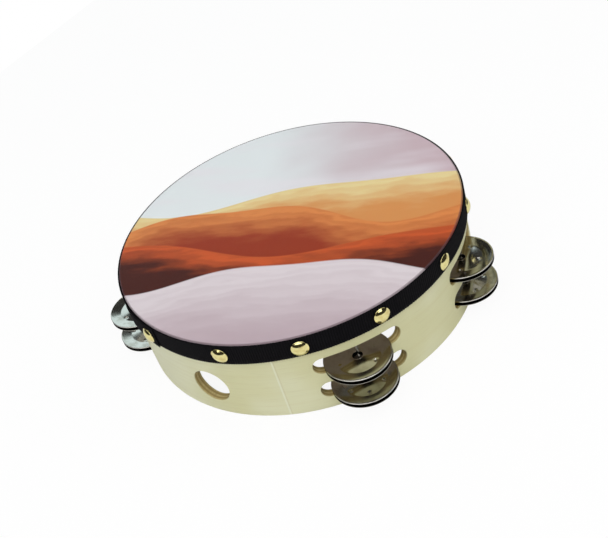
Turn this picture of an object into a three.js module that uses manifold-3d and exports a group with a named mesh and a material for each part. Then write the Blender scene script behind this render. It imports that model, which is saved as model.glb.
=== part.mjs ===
// A ten inch double-row tambourine: a bent wooden hoop, a film head wrapped over its top edge,
// a ribbon and brass tacks that hold the head down, and twelve pairs of jingles that slide
// loosely on six wire pins. Millimetres, +Z up. The hoop's axis is Z, the instrument lies on
// z = 0, and the hand hole faces -Y. Azimuths are degrees anticlockwise from +X, seen from above.

import * as THREE from 'three';
import { mergeVertices } from 'three/addons/utils/BufferGeometryUtils.js';
import Module from 'manifold-3d';

// Driving dimensions

// Clearance between two pieces that touch on the real instrument
const FIT = 0.3;

// How far a bore's cutter runs past the face that it opens
const OVERRUN = 1;

// Hoop: a plywood strip bent round and glued end to end
const SHELL_RADIUS = 127;
const SHELL_WALL = 6.8;
const SHELL_HEIGHT = 67.6;
const RIM_EASE = 0.9;
const RING_STEPS = 64;

// Hand hole
const HOLE_AZIMUTH = -90;
const HOLE_RADIUS = 13.8;
const HOLE_HEIGHT = 24.9;
const HOLE_STEPS = 20;

// Jingle stations, set out by eye, as angles anticlockwise from the hand hole
const STATION_ANGLES = [48.5, 100.2, 152.8, 207.2, 259.8, 309.3];

// Two rows of round-ended slots, by the height of their centre lines
const ROW_HEIGHTS = { lower: 16.4, upper: 37.9 };
const SLOT_LENGTH = 62;
const SLOT_HEIGHT = 13;
const SLOT_END_STEPS = 6;

// Jingle: a spun disc with a gently domed middle, a groove, and a flange that flares to the rim
const JINGLE_RADIUS = 23;
const JINGLE_SHEET = 0.6;
const JINGLE_HOLE = 3.4;
const GROOVE_RADIUS = 15;
const DOME_RISE = 0.95;
const FLANGE_FLARE = 1.25;
const JINGLE_STEPS = 22;

// The hoop leans towards this azimuth, so every jingle hangs that way on its pin
const LEAN_AZIMUTH = -74;

// Pin: a wire nail driven up through both rows from the lower rim
const PIN_RADIUS = 1;
const PIN_TIP_DEPTH = 9;
const PIN_HEAD_RADIUS = 1.6;
const PIN_HEAD_THICKNESS = 0.8;
const PIN_HEAD_SET = 0.5;
const PIN_STEPS = 8;

// Head: printed film, drawn over the top edge and down the outside
const FILM = 0.4;
const HEAD_CORNER = 1.2;
const SKIRT_LENGTH = 13.5;

// Ribbon: one strip round the hoop, its cut end lapped over its start
const RIBBON_WIDTH = 15.4;
const RIBBON_THICKNESS = 0.8;
const RIBBON_DROP = 0.4;
const LAP_END = 254.7;
const LAP_LENGTH = 15;
const LAP_CLIMB = 5;

// Tacks: domed brass heads on short shanks, driven by eye. The first holds the ribbon's lap, and
// the rest follow it round.
const TACK_AZIMUTHS = [
  -108.5, -80.7, -56.8, -32.2, -5.7, 21, 47.5, 71.3, 94.2, 118.6, 141.5, 165.4, 188.1, 211.8,
];
const TACK_DROP = 8.5;
const TACK_RADIUS = 5.8;
const TACK_DOME = 2.8;
const SHANK_RADIUS = 0.75;
const SHANK_LENGTH = 6.4;
const SHANK_POINT = 1.5;
const TACK_STEPS = 10;
const TACK_RINGS = 3;
const SHANK_HOLE_STEPS = 6;

// Worked out from them

const degrees = THREE.MathUtils.degToRad;
const shellInner = SHELL_RADIUS - SHELL_WALL;
const pinCircle = SHELL_RADIUS - SHELL_WALL / 2;
const skirtInner = SHELL_RADIUS + FIT;
const skirtOuter = skirtInner + FILM;
const ribbonInner = skirtOuter + FIT;
const tackSeatRadius = ribbonInner + RIBBON_THICKNESS + FIT;
const headTop = SHELL_HEIGHT + FIT + FILM;
const tackHeight = headTop - TACK_DROP;
const topSlotCeiling = ROW_HEIGHTS.upper + SLOT_HEIGHT / 2;
const jingleHeight = FLANGE_FLARE + JINGLE_SHEET;
const jingleLean = JINGLE_HOLE - PIN_RADIUS - FIT;

// Shapes

// A solid of revolution about Z, from [radius, height] points listed anticlockwise.
function turned(profile, steps) {
  const points = profile.map(([radius, height]) => new THREE.Vector2(radius, height));
  return new THREE.LatheGeometry(points, steps).rotateX(Math.PI / 2);
}

// A ring or dish has a closed profile, so its first point is repeated at the end.
function turnedRing(profile, steps) {
  return turned([...profile, profile[0]], steps);
}

// The placement whose X runs along the hoop, Y up, and Z outwards at an azimuth.
function onHoop(azimuth, radius, height) {
  const angle = degrees(azimuth);
  const outward = new THREE.Vector3(Math.cos(angle), Math.sin(angle), 0);
  const along = new THREE.Vector3(-Math.sin(angle), Math.cos(angle), 0);
  const up = new THREE.Vector3(0, 0, 1);
  const centre = outward.clone().multiplyScalar(radius).setZ(height);
  return new THREE.Matrix4().makeBasis(along, up, outward).setPosition(centre);
}

// A straight bar of the given flat outline, run outwards through the wall at an azimuth.
function throughWall(outline, azimuth, height) {
  const margin = SHELL_WALL;
  const bar = new THREE.ExtrudeGeometry(outline, {
    depth: SHELL_WALL + 2 * margin,
    bevelEnabled: false,
    curveSegments: SLOT_END_STEPS,
  });
  return bar.applyMatrix4(onHoop(azimuth, shellInner - margin, height));
}

// A regular-sided outline round the origin.
function roundOutline(radius, steps) {
  const corner = (_, i) => {
    const angle = (2 * Math.PI * i) / steps;
    return new THREE.Vector2(radius * Math.cos(angle), radius * Math.sin(angle));
  };
  return new THREE.Shape(Array.from({ length: steps }, corner));
}

// A slot with two half-round ends.
function slotOutline(length, height) {
  const radius = height / 2;
  const straight = length / 2 - radius;
  const outline = new THREE.Shape();
  outline.moveTo(-straight, -radius);
  outline.lineTo(straight, -radius);
  outline.absarc(straight, 0, radius, -Math.PI / 2, Math.PI / 2);
  outline.lineTo(-straight, radius);
  outline.absarc(-straight, 0, radius, Math.PI / 2, (3 * Math.PI) / 2);
  return outline;
}

// Booleans

const wasm = await Module();
wasm.setup();

function toSolid(geometry) {
  const bare = geometry.clone();
  bare.deleteAttribute('normal');
  bare.deleteAttribute('uv');
  const merged = mergeVertices(bare, 1e-4);
  return new wasm.Manifold(new wasm.Mesh({
    numProp: 3,
    vertProperties: new Float32Array(merged.getAttribute('position').array),
    triVerts: new Uint32Array(merged.getIndex().array),
  }));
}

function cut(geometry, cutters) {
  const remaining = cutters.reduce((solid, cutter) => solid.subtract(toSolid(cutter)), toSolid(geometry));
  const mesh = remaining.getMesh();
  const result = new THREE.BufferGeometry();
  result.setAttribute('position', new THREE.BufferAttribute(mesh.vertProperties, 3));
  result.setIndex(new THREE.BufferAttribute(mesh.triVerts, 1));
  result.computeVertexNormals();
  return result;
}

// Materials

const finishes = {
  wood: new THREE.MeshStandardMaterial({ color: 0xd9d6ae, roughness: 0.55, metalness: 0 }),
  film: new THREE.MeshStandardMaterial({ color: 0xd3ccd2, roughness: 0.35, metalness: 0 }),
  ribbon: new THREE.MeshStandardMaterial({ color: 0x17151a, roughness: 0.9, metalness: 0 }),
  brass: new THREE.MeshStandardMaterial({ color: 0xd9c36a, roughness: 0.2, metalness: 1 }),
  nickel: new THREE.MeshStandardMaterial({ color: 0xb3aca0, roughness: 0.15, metalness: 1 }),
  wire: new THREE.MeshStandardMaterial({ color: 0xa9a9a6, roughness: 0.35, metalness: 1 }),
};

function piece(name, geometry, finish) {
  const mesh = new THREE.Mesh(geometry, finishes[finish]);
  mesh.name = name;
  return mesh;
}

// Layout

const stationAzimuths = STATION_ANGLES.map((angle) => HOLE_AZIMUTH + angle);

// Hoop

// The pin's way in: a bore from the rim to just above its tip, with a recess for its head.
function pinBore() {
  const bore = PIN_RADIUS + FIT;
  const recess = PIN_HEAD_RADIUS + FIT;
  const recessTop = PIN_HEAD_SET + PIN_HEAD_THICKNESS + FIT;
  const end = topSlotCeiling + PIN_TIP_DEPTH + FIT;
  return turned([
    [0, -OVERRUN],
    [recess, -OVERRUN],
    [recess, recessTop],
    [bore, recessTop],
    [bore, end],
    [0, end],
  ], PIN_STEPS);
}

// The holes that the tack shanks pass through, from a given radius out past the ribbon's lap.
function shankHoles(innerRadius) {
  const reach = tackSeatRadius + RIBBON_THICKNESS + OVERRUN - innerRadius;
  return TACK_AZIMUTHS.map((azimuth) => {
    const outline = roundOutline(SHANK_RADIUS + FIT, SHANK_HOLE_STEPS);
    const bar = new THREE.ExtrudeGeometry(outline, { depth: reach, bevelEnabled: false });
    return bar.applyMatrix4(onHoop(azimuth, innerRadius, tackHeight));
  });
}

function makeShell() {
  const ring = turnedRing([
    [shellInner + RIM_EASE, 0],
    [SHELL_RADIUS - RIM_EASE, 0],
    [SHELL_RADIUS, RIM_EASE],
    [SHELL_RADIUS, SHELL_HEIGHT],
    [shellInner, SHELL_HEIGHT],
    [shellInner, RIM_EASE],
  ], RING_STEPS);
  const slots = stationAzimuths.flatMap((azimuth) => (
    Object.values(ROW_HEIGHTS).map((height) => (
      throughWall(slotOutline(SLOT_LENGTH, SLOT_HEIGHT), azimuth, height)
    ))
  ));
  const handHole = throughWall(roundOutline(HOLE_RADIUS, HOLE_STEPS), HOLE_AZIMUTH, HOLE_HEIGHT);
  const bores = stationAzimuths.map((azimuth) => {
    const { x, y } = new THREE.Vector3().setFromMatrixPosition(onHoop(azimuth, pinCircle, 0));
    return pinBore().translate(x, y, 0);
  });
  const shankHoleEnd = tackSeatRadius - SHANK_LENGTH - FIT;
  return cut(ring, [...slots, handHole, ...bores, ...shankHoles(shankHoleEnd)]);
}

// Head

function makeHead() {
  const under = headTop - FILM;
  const skirtEnd = headTop - SKIRT_LENGTH;
  const outerCorner = HEAD_CORNER * (1 - Math.SQRT1_2);
  const cap = turned([
    [0, under],
    [skirtInner, under],
    [skirtInner, skirtEnd],
    [skirtOuter, skirtEnd],
    [skirtOuter, headTop - HEAD_CORNER],
    [skirtOuter - outerCorner, headTop - outerCorner],
    [skirtOuter - HEAD_CORNER, headTop],
    [0, headTop],
  ], RING_STEPS);
  return cut(cap, shankHoles(shellInner));
}

// Ribbon

// How far the strip has climbed over its own start at an azimuth counted on from that start.
function ribbonClimb(azimuth) {
  const overStart = LAP_END - LAP_LENGTH;
  const share = THREE.MathUtils.clamp((azimuth - overStart + LAP_CLIMB) / LAP_CLIMB, 0, 1);
  return share * (RIBBON_THICKNESS + FIT);
}

function makeRibbon() {
  const start = LAP_END - 360 - LAP_LENGTH;
  const step = 360 / RING_STEPS;
  const azimuths = [start];
  for (let i = Math.floor(start / step) + 1; i * step < LAP_END; i += 1) {
    azimuths.push(i * step);
  }
  azimuths.push(LAP_END);
  const edge = (offset) => azimuths.map((azimuth) => {
    const radius = ribbonInner + ribbonClimb(azimuth) + offset;
    const angle = degrees(azimuth);
    return new THREE.Vector2(radius * Math.cos(angle), radius * Math.sin(angle));
  });
  const outline = new THREE.Shape([...edge(RIBBON_THICKNESS), ...edge(0).reverse()]);
  const strip = new THREE.ExtrudeGeometry(outline, { depth: RIBBON_WIDTH, bevelEnabled: false });
  strip.translate(0, 0, headTop - RIBBON_DROP - RIBBON_WIDTH);
  return cut(strip, shankHoles(shellInner));
}

// Tacks

// The [radius, height] points up a spherical cap, from its rim to its crown.
function capProfile(radius, rise, rings) {
  const sphere = (radius * radius + rise * rise) / (2 * rise);
  const rimAngle = Math.asin(radius / sphere);
  return Array.from({ length: rings + 1 }, (_, i) => {
    const angle = rimAngle * (1 - i / rings);
    return [sphere * Math.sin(angle), sphere * Math.cos(angle) - sphere + rise];
  });
}

function makeTack() {
  return turned([
    [0, -SHANK_LENGTH],
    [SHANK_RADIUS, SHANK_POINT - SHANK_LENGTH],
    [SHANK_RADIUS, 0],
    ...capProfile(TACK_RADIUS, TACK_DOME, TACK_RINGS),
  ], TACK_STEPS);
}

// A tack seats on whichever layer of ribbon is outermost where it is driven.
function tackSeat(azimuth) {
  const overLap = azimuth + 360 < LAP_END ? azimuth + 360 : azimuth;
  return tackSeatRadius + ribbonClimb(overLap);
}

// Pins

function makePin() {
  const headTopHeight = PIN_HEAD_SET + PIN_HEAD_THICKNESS;
  const tip = topSlotCeiling + PIN_TIP_DEPTH;
  return turned([
    [0, PIN_HEAD_SET],
    [PIN_HEAD_RADIUS, PIN_HEAD_SET],
    [PIN_HEAD_RADIUS, headTopHeight],
    [PIN_RADIUS, headTopHeight],
    [PIN_RADIUS, tip - 2 * PIN_RADIUS],
    [0, tip],
  ], PIN_STEPS);
}

// Jingles

// One disc with its groove on z = 0, and its dome and rim above it.
function makeJingle() {
  return turnedRing([
    [JINGLE_HOLE, DOME_RISE],
    [GROOVE_RADIUS, 0],
    [JINGLE_RADIUS, FLANGE_FLARE],
    [JINGLE_RADIUS, jingleHeight],
    [GROOVE_RADIUS, JINGLE_SHEET],
    [JINGLE_HOLE, DOME_RISE + JINGLE_SHEET],
  ], JINGLE_STEPS);
}

// A pair lies on the floor of its slot with the two grooves together and the rims apart.
function makePair(station, row) {
  const slotFloor = ROW_HEIGHTS[row] - SLOT_HEIGHT / 2;
  const lower = piece(`jingle_${station}_${row}_bottom`, makeJingle(), 'nickel');
  lower.rotation.x = Math.PI;
  lower.position.z = slotFloor + FIT + jingleHeight;
  const upper = piece(`jingle_${station}_${row}_top`, makeJingle(), 'nickel');
  upper.position.z = lower.position.z + FIT;
  return [lower, upper];
}

// Assembly

const tambourine = new THREE.Group();
tambourine.add(piece('shell', makeShell(), 'wood'));
tambourine.add(piece('head', makeHead(), 'film'));
tambourine.add(piece('ribbon', makeRibbon(), 'ribbon'));

TACK_AZIMUTHS.forEach((azimuth, i) => {
  const tack = piece(`tack_${i + 1}`, makeTack(), 'brass');
  tack.applyMatrix4(onHoop(azimuth, tackSeat(azimuth), tackHeight));
  tambourine.add(tack);
});

const leanAngle = degrees(LEAN_AZIMUTH);
stationAzimuths.forEach((azimuth, i) => {
  const station = new THREE.Group();
  station.position.setFromMatrixPosition(onHoop(azimuth, pinCircle, 0));
  station.add(piece(`pin_${i + 1}`, makePin(), 'wire'));
  const hanging = new THREE.Group();
  hanging.position.set(jingleLean * Math.cos(leanAngle), jingleLean * Math.sin(leanAngle), 0);
  hanging.add(...makePair(i + 1, 'upper'), ...makePair(i + 1, 'lower'));
  station.add(hanging);
  tambourine.add(station);
});

export default tambourine;
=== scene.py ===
# %% [markdown]
# A ten inch tambourine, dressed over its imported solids. The solids say where each part is
# and how it moves. This lesson gives each of them the shape, edges and finish of the real
# thing: a bent plywood hoop, a printed film head, a ribbed ribbon, brass tacks, and jingles
# that hang in pairs on wire pins.

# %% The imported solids
import math

import bpy
import numpy as np
from mathutils import Matrix, Vector


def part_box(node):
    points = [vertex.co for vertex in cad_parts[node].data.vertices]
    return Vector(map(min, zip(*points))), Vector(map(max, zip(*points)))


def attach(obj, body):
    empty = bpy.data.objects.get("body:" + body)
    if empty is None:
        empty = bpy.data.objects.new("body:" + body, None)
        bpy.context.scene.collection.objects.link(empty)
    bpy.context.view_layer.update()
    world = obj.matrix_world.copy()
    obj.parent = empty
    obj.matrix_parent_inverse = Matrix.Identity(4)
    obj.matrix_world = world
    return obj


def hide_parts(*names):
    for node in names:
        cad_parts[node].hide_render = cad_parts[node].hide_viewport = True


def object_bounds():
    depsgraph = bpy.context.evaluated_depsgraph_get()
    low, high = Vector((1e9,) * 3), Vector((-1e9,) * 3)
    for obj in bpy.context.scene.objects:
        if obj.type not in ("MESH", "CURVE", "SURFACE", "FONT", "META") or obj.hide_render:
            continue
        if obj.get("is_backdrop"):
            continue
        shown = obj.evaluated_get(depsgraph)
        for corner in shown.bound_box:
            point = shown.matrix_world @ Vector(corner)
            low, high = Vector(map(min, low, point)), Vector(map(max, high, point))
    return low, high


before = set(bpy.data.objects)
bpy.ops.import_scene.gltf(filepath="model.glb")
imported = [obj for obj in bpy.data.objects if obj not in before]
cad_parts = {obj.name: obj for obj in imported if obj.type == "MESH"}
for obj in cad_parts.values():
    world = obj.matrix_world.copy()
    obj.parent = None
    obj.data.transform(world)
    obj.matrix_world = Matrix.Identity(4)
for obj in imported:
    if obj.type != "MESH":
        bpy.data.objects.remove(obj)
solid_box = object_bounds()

mm = 0.001
TURN = 2 * math.pi
scene = bpy.context.scene

# %% [markdown]
# The camera comes first, because every later judgement is made through it. It looks down at
# the hoop from about 37 degrees above its side, and it is rolled, so the head seems to tip
# towards the lower left. A camera is a place and three directions: its right, its own up,
# and back, which points from the scene to the lens. They are the columns of its matrix.

# %% Camera
LOOK_DOWN = math.radians(37.24)
ROLL = math.radians(-18.928)
SIDE = math.radians(41)
DISTANCE = 689.9 * mm
LENS_IN_PIXELS, PICTURE_WIDTH = 924.9, 608
SIDESTEP, RISE = 0.78 * mm, -11.42 * mm

back = np.array([0, -math.cos(LOOK_DOWN), math.sin(LOOK_DOWN)])
level = np.array([1.0, 0, 0])
upright = np.cross(back, level)
right = level * math.cos(ROLL) + upright * math.sin(ROLL)
up = upright * math.cos(ROLL) - level * math.sin(ROLL)
aim = np.array([SIDESTEP, 0, solid_box[1].z / 2])
eye = aim + back * DISTANCE + upright * RISE

lens = bpy.data.cameras.new("lens")
lens.sensor_width = 36
lens.lens = LENS_IN_PIXELS * lens.sensor_width / PICTURE_WIDTH
lens.clip_start = 0.01
camera = bpy.data.objects.new("camera", lens)
scene.collection.objects.link(camera)
lens_axes = np.stack([right, up, back], 1)
placing = Matrix([[*row, e] for row, e in zip(lens_axes, eye)] + [[0, 0, 0, 1]])
camera.matrix_world = Matrix.Rotation(SIDE, 4, "Z") @ placing
scene.camera = camera
print("camera at", [round(v, 3) for v in camera.matrix_world.translation])

# %% [markdown]
# Every new piece is a grid of points worked out with numpy. Neighbours on the grid are
# joined into four-sided faces, and either side of the grid may close on itself, as a ring
# does. These few helpers turn such arrays into mesh objects that sit at the world origin.

# %% Helpers for meshes
def grid_faces(rows, columns, round_rows=False, round_columns=False):
    """Four-sided faces of a grid of points: each joins point (r, c) to its next in the row,
    the one above that, and the one above itself. A round side joins its last to its first."""
    r, c = np.meshgrid(
        np.arange(rows if round_rows else rows - 1),
        np.arange(columns if round_columns else columns - 1),
        indexing="ij",
    )
    here, over = r * columns, (r + 1) % rows * columns
    beside = (c + 1) % columns
    return np.stack([here + c, here + beside, over + beside, over + c], -1).reshape(-1, 4)


def turned_solid(profile, steps, first_end, last_end):
    """A profile of [radius, height] pairs turned round Z: point (i, k) stands at its radius
    times the cosine and sine of the angle k, and at its own height. A point on the axis
    closes each end with a ring of triangles. Gives the points and the arrays of faces."""
    angle = np.arange(steps) * TURN / steps
    radius, height = np.asarray(profile, float).T[:, :, None]
    rings = np.stack([radius * np.cos(angle), radius * np.sin(angle), height + 0 * angle], -1)
    points = np.concatenate([rings.reshape(-1, 3), [[0, 0, first_end], [0, 0, last_end]]])
    here = np.arange(steps)
    beside = (here + 1) % steps
    last_ring = (len(profile) - 1) * steps
    pole = np.full(steps, len(profile) * steps)
    return points, [
        grid_faces(len(profile), steps, False, True),
        np.stack([pole, beside, here], -1),
        np.stack([pole + 1, last_ring + here, last_ring + beside], -1),
    ]


def arc(centre, radius, start, end, steps):
    """Points on part of a circle, by its angles in degrees."""
    angle = np.radians(np.linspace(start, end, steps))
    return np.stack([centre[0] + radius * np.cos(angle), centre[1] + radius * np.sin(angle)], -1)


def eased(t):
    """A smooth step: 3 t squared less 2 t cubed, held to 0 before and 1 after."""
    t = np.clip(t, 0, 1)
    return t * t * (3 - 2 * t)


def make_piece(name, points, faces, material, sharp=50):
    """Puts points in millimetres, and one or more arrays of faces, into an object."""
    mesh = bpy.data.meshes.new(name)
    places = (np.reshape(points, (-1, 3)) * mm).tolist()
    mesh.from_pydata(places, [], sum((f.tolist() for f in faces), []))
    mesh.shade_smooth()
    mesh.set_sharp_from_angle(angle=math.radians(sharp))
    mesh.materials.append(material)
    piece = bpy.data.objects.new(name, mesh)
    scene.collection.objects.link(piece)
    return piece


def lay_out(piece, across):
    """Gives the piece a UV map from one pair of numbers per point."""
    mesh = piece.data
    corner = np.empty(len(mesh.loops), np.int32)
    mesh.loops.foreach_get("vertex_index", corner)
    pairs = np.reshape(across, (-1, 2))[corner].astype(np.float32)
    mesh.uv_layers.new(name="layout").data.foreach_set("uv", pairs.ravel())


def mark_points(piece, name, values):
    """Keeps one number per point on the piece, which its material reads by that name."""
    layer = piece.data.attributes.new(name, "FLOAT", "POINT")
    layer.data.foreach_set("value", np.asarray(values, np.float32).ravel())


def dress(piece, body, slot, *nodes):
    """The piece rides on a body and stands for some solids, which it hides. The slot is not used.
    """
    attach(piece, body)
    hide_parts(*nodes)


# %% [markdown]
# A finish is a tree of nodes that ends in one shader. Written out node by node and link by
# link, a tree hides what it is for, so these helpers each stand for one step of thought. The
# first few feed a node, do a sum, carry one range to another, and mix two colours.

# %% Helpers for nodes
def feed(tree, node, links):
    """Feeds a node's inputs. links is {input: value or another node's socket}."""
    for key, value in links.items():
        if isinstance(value, bpy.types.NodeSocket):
            tree.links.new(value, node.inputs[key])
        else:
            node.inputs[key].default_value = value
    return node


def add(tree, kind, links=None, **settings):
    """Adds a node with some settings, and feeds it."""
    node = tree.nodes.new(kind)
    for key, value in settings.items():
        setattr(node, key, value)
    return feed(tree, node, links or {})


def math_node(tree, operation, *values):
    """One sum on numbers or sockets, and its result."""
    return add(tree, "ShaderNodeMath", dict(enumerate(values)), operation=operation).outputs[0]


def remap(tree, value, low, high, new_low=0.0, new_high=1.0):
    """Carries a value from one range to another, eased at both ends."""
    links = {"Value": value, "From Min": low, "From Max": high}
    links.update({"To Min": new_low, "To Max": new_high})
    node = add(tree, "ShaderNodeMapRange", links, interpolation_type="SMOOTHSTEP")
    return node.outputs["Result"]


def blend(tree, share, one, other):
    """Mixes two colours by a share. A Mix node keeps its colours on inputs 6 and 7."""
    return add(tree, "ShaderNodeMix", {0: share, 6: one, 7: other}, data_type="RGBA").outputs[2]


# %% [markdown]
# The next few answer the questions that a pattern asks: where am I, how far from the axis,
# and how cloudy is it here? Stretching the place before the noise turns clouds into streaks.

# %% Helpers for patterns
def stretched(tree, place, scale):
    """A place with its three axes scaled, which draws a pattern out into streaks."""
    return add(tree, "ShaderNodeMapping", {"Vector": place, "Scale": scale}).outputs[0]


def noise(tree, place, scale, detail):
    """A soft cloudy value about 0.5. More detail lays finer clouds over the first."""
    links = {"Vector": place, "Scale": scale, "Detail": detail}
    return add(tree, "ShaderNodeTexNoise", links).outputs["Fac"]


def length_of(tree, vector):
    """The root of the sum of its three squares."""
    return add(tree, "ShaderNodeVectorMath", {0: vector}, operation="LENGTH").outputs["Value"]


def from_axis(tree, place):
    """Distance from the hoop's axis: the length of the place with its height made 0."""
    flat = add(tree, "ShaderNodeVectorMath", {0: place, 1: (1, 1, 0)}, operation="MULTIPLY")
    return length_of(tree, flat.outputs[0])


def object_place(tree):
    """Where a point is on the object, in metres."""
    return add(tree, "ShaderNodeTexCoord").outputs["Object"]


def point_value(tree, name):
    """A number that the mesh keeps for each of its points."""
    return add(tree, "ShaderNodeAttribute", attribute_name=name).outputs["Fac"]


# %% [markdown]
# The last ones make a whole finish. A group is a small tree of its own with named inputs,
# made once and then placed in each material that needs it.

# %% Helpers for finishes
def fine_relief(tree, shader, height, strength, distance):
    """A relief too fine to model, as a Bump node. Its distance is in millimetres."""
    links = {"Height": height, "Strength": strength, "Distance": distance * mm}
    feed(tree, shader, {"Normal": add(tree, "ShaderNodeBump", links).outputs[0]})


def paint(red, green, blue):
    """A colour as it looks on a screen, 0 to 255, turned into amounts of light."""
    tone = np.array([red, green, blue]) / 255
    light = np.where(tone <= 0.04045, tone / 12.92, ((tone + 0.055) / 1.055) ** 2.4)
    return (*light.tolist(), 1.0)


def new_material(name):
    """An empty material with a Principled shader on its output."""
    material = bpy.data.materials.new(name)
    material.use_nodes = True
    tree = material.node_tree
    tree.nodes.clear()
    shader = add(tree, "ShaderNodeBsdfPrincipled")
    add(tree, "ShaderNodeOutputMaterial", {"Surface": shader.outputs[0]})
    return material, tree, shader


def new_group(name, inputs, outputs):
    """An empty node group. Sockets are {name: (kind, value)} and {name: kind}."""
    group = bpy.data.node_groups.new(name, "ShaderNodeTree")
    sockets = group.interface
    for key, (kind, value) in inputs.items():
        socket = sockets.new_socket(key, in_out="INPUT", socket_type="NodeSocket" + kind)
        if value is not None:
            socket.default_value = value
    for key, kind in outputs.items():
        sockets.new_socket(key, in_out="OUTPUT", socket_type="NodeSocket" + kind)
    ends = group.nodes.new("NodeGroupInput"), group.nodes.new("NodeGroupOutput")
    return group, ends[0].outputs, ends[1]


def use_group(tree, group, links):
    """Places a group in a material with its own values."""
    node = tree.nodes.new("ShaderNodeGroup")
    node.node_tree = group
    return feed(tree, node, links).outputs


# %% [markdown]
# The room is a white sheet on the floor of a dark studio, with a few large soft lamps.
# Polished metal has no colour of its own to show, only what it mirrors, so a dark room with
# bright panels draws the domes of the tacks and the dishes of the jingles. The key lamp stands
# behind the camera, a low bright panel stands beyond the hoop, a third lamp hangs overhead,
# and two fills keep the sides of the hoop as light as its front. The sheet looks white to
# the eye and partly to mirrors, and the rest of it is lit honestly, which keeps the shadow.

# %% Studio light
ROOM_GLOW, ROOM_TINT = 0.04, (1, 0.96, 0.9, 1)
world = bpy.data.worlds.new("studio")
scene.world = world
world.use_nodes = True
sky = world.node_tree
sky.nodes.clear()
to_camera = add(sky, "ShaderNodeLightPath").outputs["Is Camera Ray"]
glow = math_node(sky, "MULTIPLY_ADD", to_camera, 1 - ROOM_GLOW, ROOM_GLOW)
hue = blend(sky, to_camera, ROOM_TINT, (1, 1, 1, 1))
background = add(sky, "ShaderNodeBackground", {"Color": hue, "Strength": glow})
add(sky, "ShaderNodeOutputWorld", {"Surface": background.outputs[0]})


def soft_lamp(name, azimuth, elevation, distance, width, height, radiance, tint=(1, 1, 1)):
    """A flat lamp that faces the hoop. Its power is its radiance times pi times its area."""
    a, e = math.radians(azimuth), math.radians(elevation)
    towards = Vector((math.cos(e) * math.cos(a), math.cos(e) * math.sin(a), math.sin(e)))
    lamp = bpy.data.lights.new(name, "AREA")
    lamp.shape = "RECTANGLE"
    lamp.size, lamp.size_y = width, height
    lamp.energy = radiance * math.pi * width * height
    lamp.color = tint
    holder = bpy.data.objects.new(name, lamp)
    holder.location = towards * distance
    holder.rotation_euler = towards.to_track_quat("Z", "Y").to_euler()
    holder.visible_camera = False
    scene.collection.objects.link(holder)


# Name, azimuth, elevation, distance, width, height and radiance.
soft_lamp("key", -58, 47, 1.7, 3.2, 1.4, 2.08)
soft_lamp("overhead", 139, 84, 1.7, 0.7, 0.7, 2.6)
soft_lamp("low_wall", 135, 20, 1.8, 1.9, 1.13, 1.13, (0.8, 0.96, 1))
soft_lamp("left_fill", 215, 46, 1.8, 1.3, 1.3, 1.2)
soft_lamp("right_fill", 40, 46, 1.8, 1.3, 1.3, 1.8)
scene.view_settings.view_transform = "Standard"
print("lamps:", [lamp.name for lamp in bpy.data.lights])

# %% Floor
FLOOR_HALF, FLOOR_POINTS, FLOOR_HEIGHT = 650, 9, -0.2
SELF_WHITE, MIRROR_WHITE = 0.92, 0.12
across = np.linspace(-FLOOR_HALF, FLOOR_HALF, FLOOR_POINTS)
x, y = np.meshgrid(across, across)
floor_points = np.stack([x, y, np.full_like(x, FLOOR_HEIGHT)], -1)
floor_paint, tree, shader = new_material("floor_paint")
grit = add(tree, "ShaderNodeTexNoise", {"Scale": 60.0, "Detail": 3.0}).outputs["Fac"]
roughness = remap(tree, grit, 0.3, 0.7, 0.6, 0.7)
feed(tree, shader, {"Base Color": paint(244, 244, 244), "Roughness": roughness})
path = add(tree, "ShaderNodeLightPath").outputs
white = add(tree, "ShaderNodeEmission", {"Color": (1, 1, 1, 1), "Strength": 1.0}).outputs[0]
seen = math_node(tree, "MAXIMUM", path["Is Camera Ray"], path["Is Transmission Ray"])
mirrored = math_node(tree, "MULTIPLY", path["Is Glossy Ray"], MIRROR_WHITE)
share = math_node(tree, "MAXIMUM", math_node(tree, "MULTIPLY", seen, SELF_WHITE), mirrored)
mix = add(tree, "ShaderNodeMixShader", {0: share, 1: shader.outputs[0], 2: white})
feed(tree, tree.nodes["Material Output"], {"Surface": mix.outputs[0]})
floor_faces = grid_faces(FLOOR_POINTS, FLOOR_POINTS)
make_piece("floor", floor_points, [floor_faces], floor_paint)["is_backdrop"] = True
print("floor faces:", len(floor_faces))

# %% [markdown]
# The hoop is a strip of plywood bent round and glued end to end. Its faces are pale veneer
# with faint grain that runs round the hoop, and its cut edges show the darker plies. Wood
# could be one colour with a noise over it, but the plies only make sense as layers, so the
# colour is chosen by distance from the hoop's axis. Object coordinates stretched along Z
# give streaks that follow the bend with no start or end.

# %% Hoop sizes
HOOP_RADIUS, HOOP_WALL, HOOP_HEIGHT = 127.0, 6.8, 67.6
INSIDE = HOOP_RADIUS - HOOP_WALL
PLY = HOOP_WALL / 5
print("plies:", round(PLY, 2), "mm")

# %% Veneer and plies
VENEER, VENEER_END = 0.25, 0.55
wood, tree, shader = new_material("hoop_wood")
place = object_place(tree)
streaks = noise(tree, stretched(tree, place, (9, 9, 330)), 1.0, 5.0)
pores = noise(tree, stretched(tree, place, (60, 60, 1900)), 1.0, 2.0)
clouds = noise(tree, place, 14.0, 2.0)
veneer = blend(tree, remap(tree, clouds, 0.35, 0.65), paint(213, 213, 178), paint(205, 203, 158))
grain = remap(tree, streaks, 0.45, 0.75, 0.0, 0.2)
veneer = blend(tree, grain, veneer, paint(200, 190, 144))
flecks = remap(tree, pores, 0.58, 0.72, 0.0, 0.14)
veneer = blend(tree, flecks, veneer, paint(158, 140, 98))

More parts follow.
